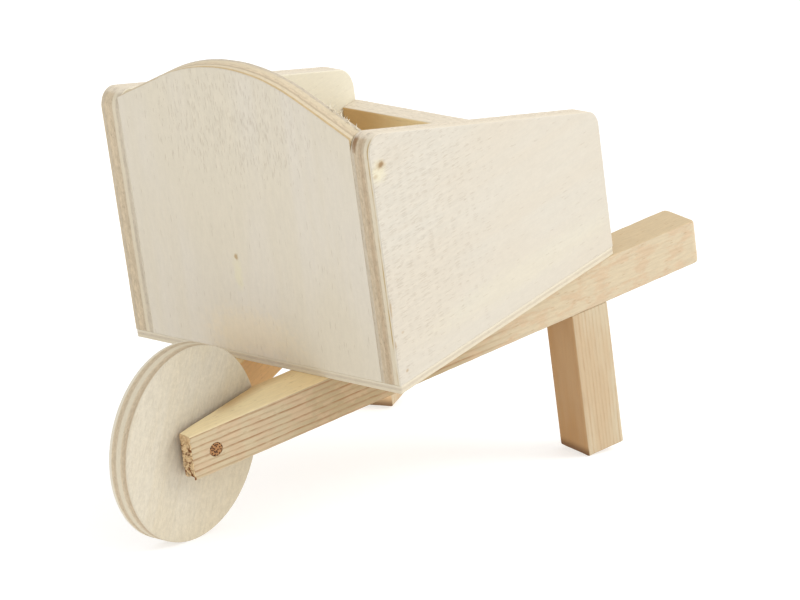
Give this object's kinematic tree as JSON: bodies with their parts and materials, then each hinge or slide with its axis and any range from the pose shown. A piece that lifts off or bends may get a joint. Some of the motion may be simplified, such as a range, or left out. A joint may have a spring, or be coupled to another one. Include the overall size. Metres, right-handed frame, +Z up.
{
  "type": "miniature wooden wheelbarrow",
  "caption": "Small raw-wood wheelbarrow: plywood tray with an arched front on two converging pine rails, two legs, and a plywood wheel that turns on a bamboo axle.",
  "frame": {"origin": "bottom centre of the bounding box, on the ground that the wheelbarrow stands on", "axes": "+X forwards, towards the wheel; +Y to the left of someone holding the handles; +Z up"},
  "size_m": [0.1486, 0.0854, 0.0986],
  "materials": {
    "tray_plywood": "raw sanded five-layer plywood, pale cream, matt",
    "base_plywood": "raw three-layer plywood, matt",
    "wheel_plywood": "raw sanded five-layer plywood, pale cream, matt",
    "rail_pine": "raw planed pine with growth lines, matt",
    "leg_pine": "raw planed pine with growth lines, matt",
    "axle_bamboo": "raw bamboo skewer, darker dotted end grain"
  },
  "bodies": {
    "frame": {"bottom_board": "base_plywood", "front_panel": "tray_plywood", "rear_panel": "tray_plywood", "left_side_panel": "tray_plywood", "right_side_panel": "tray_plywood", "left_rail": "rail_pine", "right_rail": "rail_pine", "left_leg": "leg_pine", "right_leg": "leg_pine", "axle": "axle_bamboo"},
    "wheel": {"wheel": "wheel_plywood"}
  },
  "joints": [
    {"name": "wheel_spin", "type": "hinge", "parent": "frame", "child": "wheel", "pos_m": [0.05342, 0, 0.0209], "axis": [0, 1, 0], "continuous": true}
  ]
}
